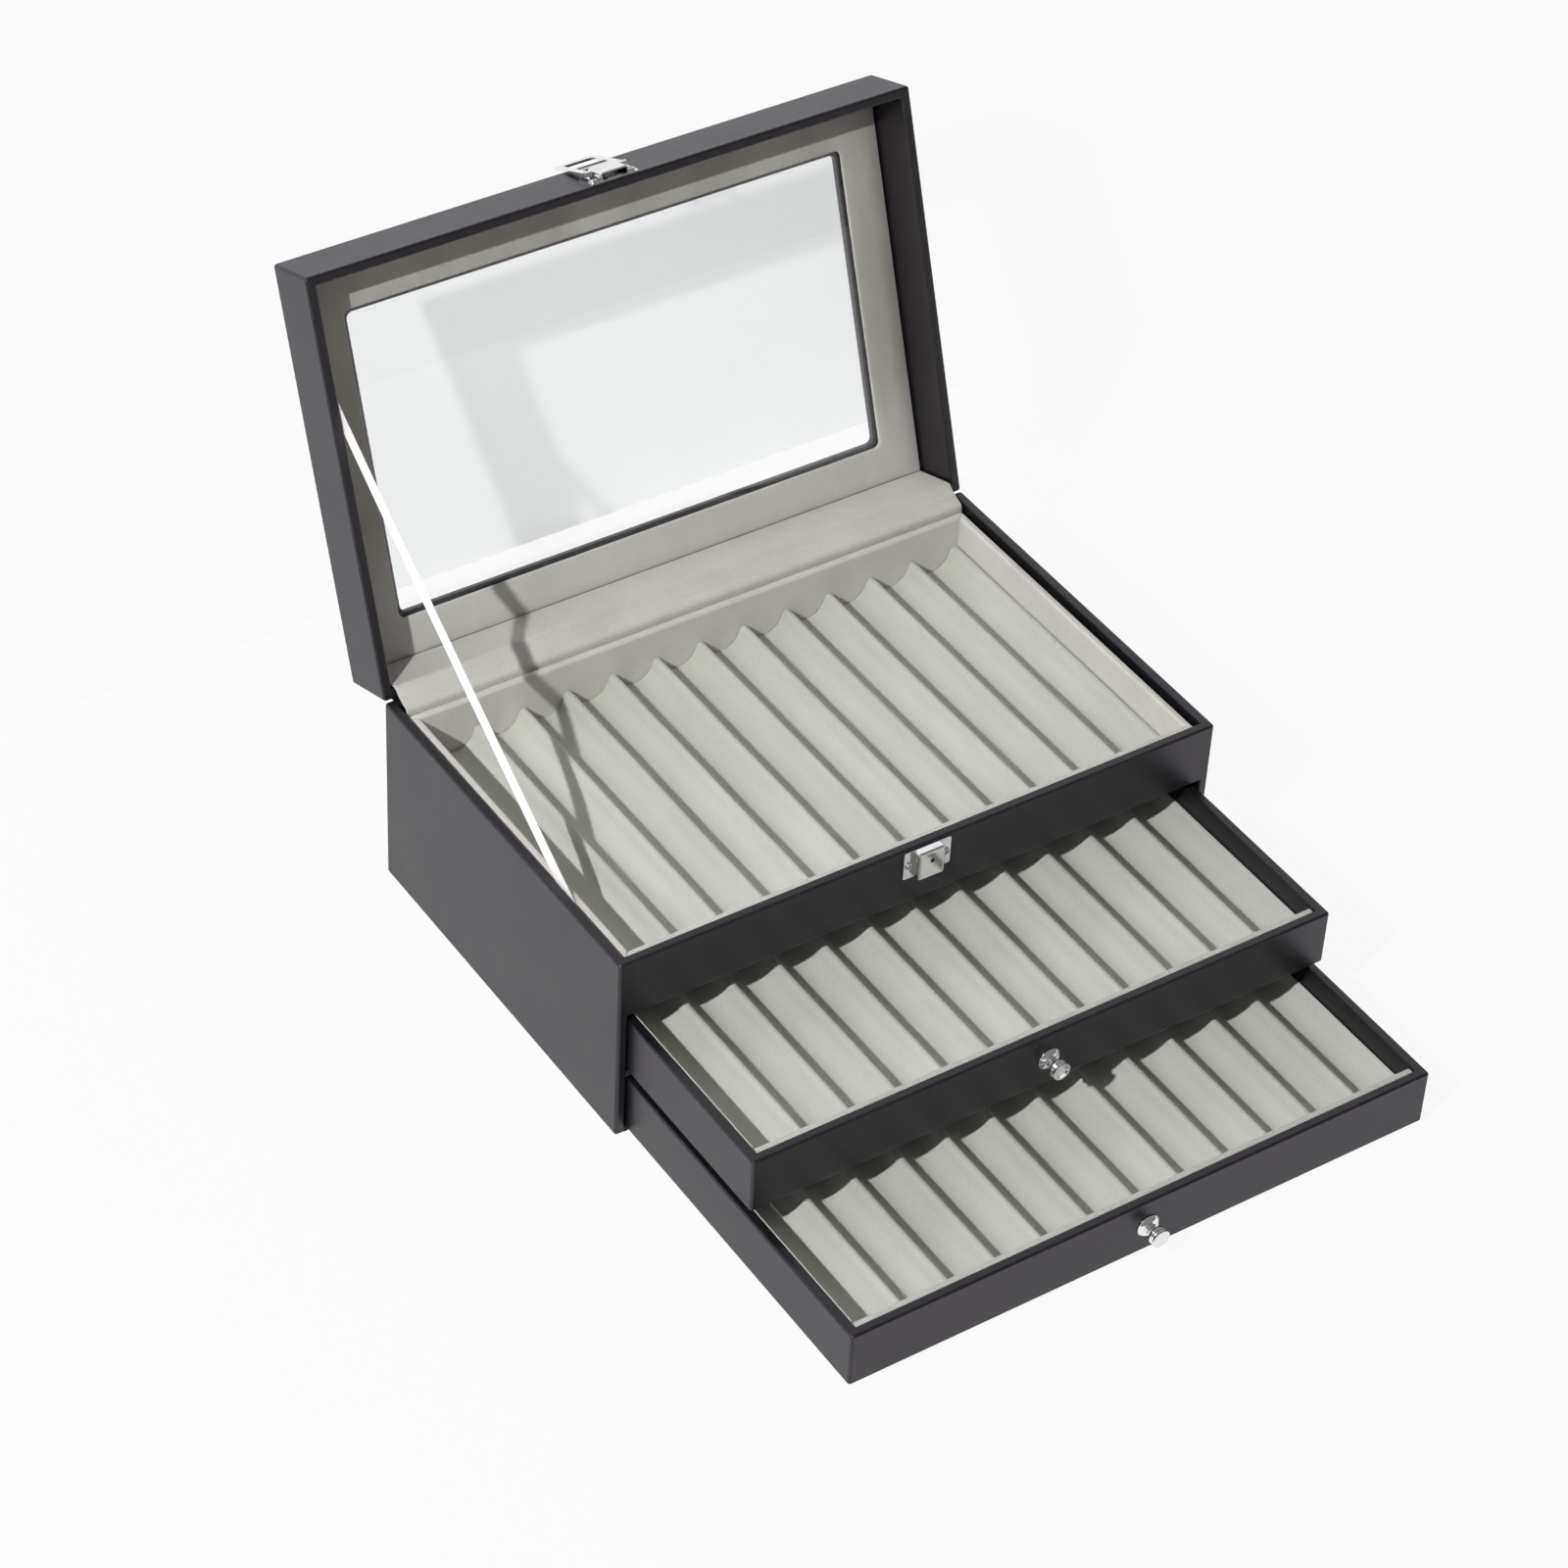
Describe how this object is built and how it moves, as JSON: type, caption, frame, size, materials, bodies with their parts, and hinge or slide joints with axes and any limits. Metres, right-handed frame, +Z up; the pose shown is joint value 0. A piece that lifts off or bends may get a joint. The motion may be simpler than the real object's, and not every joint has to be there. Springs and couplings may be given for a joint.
{
  "type": "pen collector chest",
  "caption": "Leather-covered display chest with a glass-window lid, a grooved velvet top tray, grooved pull-out drawers, a ribbon lid stay and a metal clasp.",
  "frame": {"origin": "centre of the case's base, on the surface it stands on", "axes": "+X right along the front, the front faces -Y, +Z up; stored with the lid open and both drawers part way out, as pictured"},
  "size_m": [0.335, 0.5191, 0.3142],
  "materials": {
    "black_leather": "soft-grained black leather cover over board, satin",
    "hinge_leather": "black leather hinge strip",
    "pale_velvet": "short-pile pale greenish-grey velvet",
    "cream_ribbon": "cream satin ribbon",
    "black_board": "fibreboard under black paper",
    "chromed_metal": "polished chrome plate",
    "bright_steel": "zinc-plated steel",
    "window_glass": "clear flat glass"
  },
  "bodies": {
    "case": {"case_left_side": "black_leather", "case_right_side": "black_leather", "front_rail": "black_leather", "case_back_panel": "black_leather", "tray_deck": "black_board", "drawer_shelf": "black_board", "case_base": "black_board", "tray_liner_left": "pale_velvet", "tray_liner_right": "pale_velvet", "tray_liner_front": "pale_velvet", "tray_liner_back": "pale_velvet", "tray_insert": "pale_velvet", "clasp_keeper": "chromed_metal", "keeper_screws": "bright_steel", "ribbon_stay": "cream_ribbon", "hinge_lining": "pale_velvet", "hinge_leather": "hinge_leather"},
    "lid": {"lid_left_wall": "black_leather", "lid_right_wall": "black_leather", "lid_front_wall": "black_leather", "lid_back_wall": "black_leather", "lid_top_frame": "black_leather", "lid_glass": "window_glass", "lid_liner_frame": "pale_velvet", "clasp_base": "chromed_metal", "clasp_pin": "bright_steel", "clasp_screws": "bright_steel", "clasp_spring": "bright_steel"},
    "clasp_hasp": {"clasp_hasp": "chromed_metal"},
    "middle_drawer": {"middle_drawer_front": "black_leather", "middle_drawer_back": "black_leather", "middle_drawer_left_side": "black_leather", "middle_drawer_right_side": "black_leather", "middle_drawer_floor": "black_board", "middle_drawer_front_liner": "pale_velvet", "middle_drawer_insert": "pale_velvet", "middle_drawer_knob": "chromed_metal", "middle_drawer_knob_base": "chromed_metal", "middle_drawer_knob_screw": "bright_steel"},
    "bottom_drawer": {"bottom_drawer_front": "black_leather", "bottom_drawer_back": "black_leather", "bottom_drawer_left_side": "black_leather", "bottom_drawer_right_side": "black_leather", "bottom_drawer_floor": "black_board", "bottom_drawer_front_liner": "pale_velvet", "bottom_drawer_insert": "pale_velvet", "bottom_drawer_knob": "chromed_metal", "bottom_drawer_knob_base": "chromed_metal", "bottom_drawer_knob_screw": "bright_steel"}
  },
  "joints": [
    {"name": "lid_hinge", "type": "hinge", "parent": "case", "child": "lid", "pos_m": [0, 0.107, 0.1073], "axis": [-1, 0, 0], "range_deg": [-108.7, 0], "deforming": ["ribbon_stay", "hinge_lining", "hinge_leather"]},
    {"name": "middle_drawer_slide", "type": "slide", "parent": "case", "child": "middle_drawer", "axis": [0, -1, 0], "range_m": [-0.104, 0.086]},
    {"name": "bottom_drawer_slide", "type": "slide", "parent": "case", "child": "bottom_drawer", "axis": [0, -1, 0], "range_m": [-0.186, 0.004]},
    {"name": "clasp_hinge", "type": "hinge", "parent": "lid", "child": "clasp_hasp", "pos_m": [0, 0.18611, 0.30983], "axis": [1, 0, 0], "range_deg": [0, 185.5]}
  ]
}
